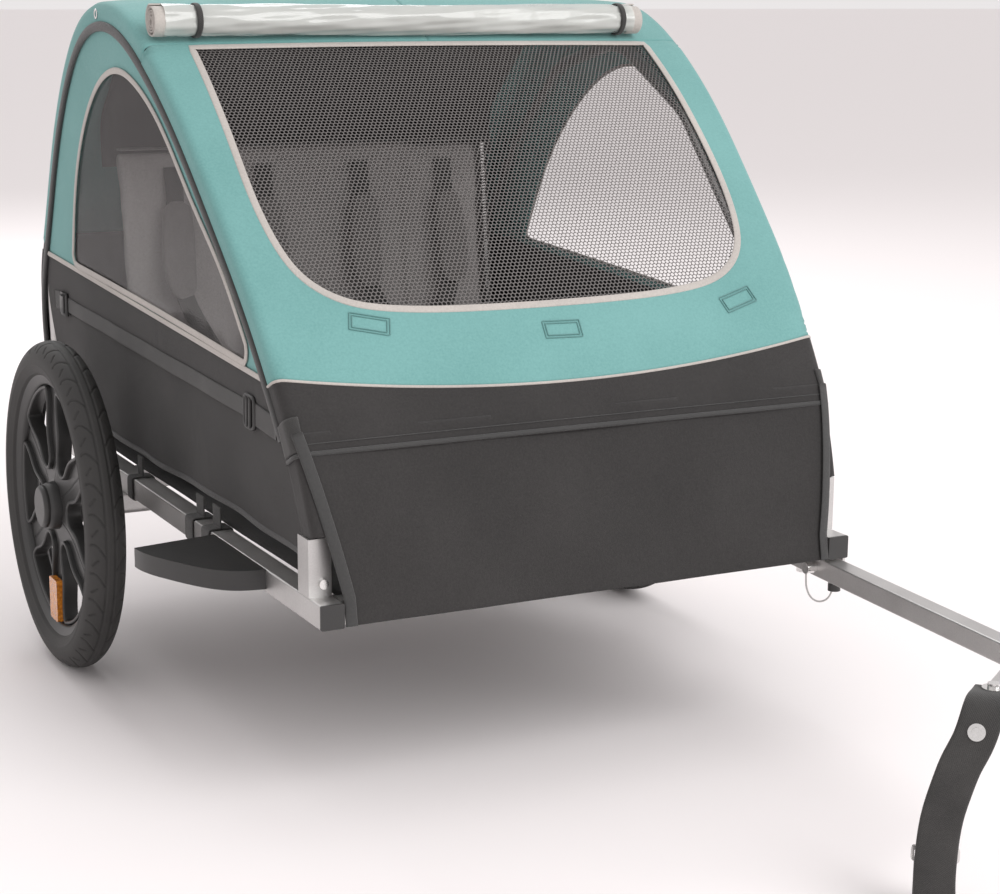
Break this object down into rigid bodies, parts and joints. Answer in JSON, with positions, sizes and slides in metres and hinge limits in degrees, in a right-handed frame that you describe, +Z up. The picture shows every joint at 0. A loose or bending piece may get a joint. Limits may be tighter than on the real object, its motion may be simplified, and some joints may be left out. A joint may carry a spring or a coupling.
{
  "type": "child bicycle trailer",
  "caption": "Two-seat child bicycle trailer: square-tube floor frame, folding hoops, fabric cabin with mesh front, spoked wheels and a side tow arm with flexible hitch.",
  "frame": {"origin": "on the ground, midway between the wheels, straight under the axle line", "axes": "+Z up, the trailer's front faces -Y, +X towards its left side, where the tow arm is"},
  "size_m": [0.84, 1.4469, 0.8026],
  "materials": {
    "zinc_steel": "satin silver-painted steel tube",
    "bright_steel": "bright plated steel",
    "tyre_rubber": "matt rubber",
    "moulded_black": "moulded black plastic",
    "amber_lens": "prismatic amber lens",
    "teal_fabric": "coated woven polyester",
    "black_fabric": "coated woven polyester",
    "seat_fabric": "padded woven polyester",
    "black_webbing": "woven webbing",
    "mesh": "open knitted mesh",
    "clear_vinyl": "clear flexible vinyl",
    "coupler_rubber": "tough moulded elastomer"
  },
  "bodies": {
    "root": {"arm_bracket": "zinc_steel", "arm_pivot_bolt": "bright_steel", "axle_receivers": "zinc_steel", "canopy_roof": "teal_fabric", "cross_tubes": "zinc_steel", "floor_panel": "black_fabric", "front_lower_panel": "black_fabric", "hoop_brackets": "zinc_steel", "hoop_pivot_bolts": "bright_steel", "left_axle": "zinc_steel", "left_side_rail": "zinc_steel", "rail_end_caps": "moulded_black", "rail_straps": "black_webbing", "rain_cover_roll": "clear_vinyl", "rear_panel": "black_fabric", "right_axle": "zinc_steel", "right_side_rail": "zinc_steel", "roll_ties": "black_webbing", "seat_back": "seat_fabric", "seat_base": "seat_fabric", "seat_harnesses": "black_webbing", "wheel_guards": "moulded_black"},
    "left_wheel": {"left_tyre": "tyre_rubber", "left_wheel_moulding": "moulded_black", "left_wheel_bearings": "bright_steel", "left_hub_cap": "moulded_black", "left_reflector": "amber_lens"},
    "left_side_frame": {"left_hoop": "zinc_steel", "left_canopy_side": "teal_fabric", "left_side_window": "clear_vinyl", "left_side_skirt": "black_fabric", "left_side_strap": "black_webbing", "left_strap_buckles": "moulded_black"},
    "right_wheel": {"right_tyre": "tyre_rubber", "right_wheel_moulding": "moulded_black", "right_wheel_bearings": "bright_steel", "right_hub_cap": "moulded_black", "right_reflector": "amber_lens"},
    "right_side_frame": {"right_hoop": "zinc_steel", "right_canopy_side": "teal_fabric", "right_side_window": "clear_vinyl", "right_side_skirt": "black_fabric", "right_side_strap": "black_webbing", "right_strap_buckles": "moulded_black"},
    "crossbar": {"roof_crossbar": "zinc_steel"},
    "cover": {"front_cover": "teal_fabric", "mesh_screen": "mesh"},
    "tow_arm": {"arm_tube": "zinc_steel", "arm_front_tube": "zinc_steel", "elbow_plates_and_rivets": "zinc_steel", "lanyard_anchor": "moulded_black", "strap_bolt": "bright_steel"},
    "lock_pin": {"arm_lock_pin": "bright_steel", "lock_pin_lanyard": "bright_steel"},
    "hitch": {"flex_coupler": "coupler_rubber", "hitch_tongue": "zinc_steel", "safety_strap": "black_webbing", "strap_hardware": "bright_steel", "hitch_pin": "bright_steel", "hitch_pin_lanyard": "bright_steel"}
  },
  "joints": [
    {"name": "right_wheel_spin", "type": "hinge", "parent": "root", "child": "right_wheel", "pos_m": [-0.391, 0, 0.2], "axis": [1, 0, 0], "continuous": true},
    {"name": "left_wheel_spin", "type": "hinge", "parent": "root", "child": "left_wheel", "pos_m": [0.391, 0, 0.2], "axis": [1, 0, 0], "continuous": true},
    {"name": "right_side_fold", "type": "hinge", "parent": "root", "child": "right_side_frame", "pos_m": [-0.299, 0, 0.246], "axis": [0, 1, 0], "range_deg": [0, 93.55], "deforming": ["canopy_roof", "front_lower_panel", "rear_panel", "seat_base", "seat_back", "seat_harnesses", "front_cover", "mesh_screen", "right_canopy_side"]},
    {"name": "left_side_fold", "type": "hinge", "parent": "root", "child": "left_side_frame", "pos_m": [0.30092, 0, 0.277], "axis": [0, -1, 0], "range_deg": [0, 93.55], "deforming": ["left_canopy_side"]},
    {"name": "crossbar_lift", "type": "slide", "parent": "root", "child": "crossbar", "axis": [0, 0, 1], "range_m": [0, 0.014]},
    {"name": "front_cover_open", "type": "hinge", "parent": "root", "child": "cover", "pos_m": [0, -0.212, 0.755], "axis": [-1, 0, 0], "range_deg": [0, 110]},
    {"name": "tow_arm_fold", "type": "hinge", "parent": "root", "child": "tow_arm", "pos_m": [0.3013, -0.568, 0.1938], "axis": [0, 0, -1], "range_deg": [0, 90]},
    {"name": "lock_pin_pull", "type": "slide", "parent": "tow_arm", "child": "lock_pin", "axis": [-1, 0, 0], "range_m": [0, 0.035]},
    {"name": "hitch_flex", "type": "hinge", "parent": "tow_arm", "child": "hitch", "pos_m": [0.14529, -1.07409, 0.1888], "axis": [-0.5948, 0.8039, 0], "range_deg": [-20, 75], "stiffness_Nm_per_rad": 12, "deforming": ["flex_coupler", "safety_strap", "hitch_pin_lanyard"]}
  ]
}
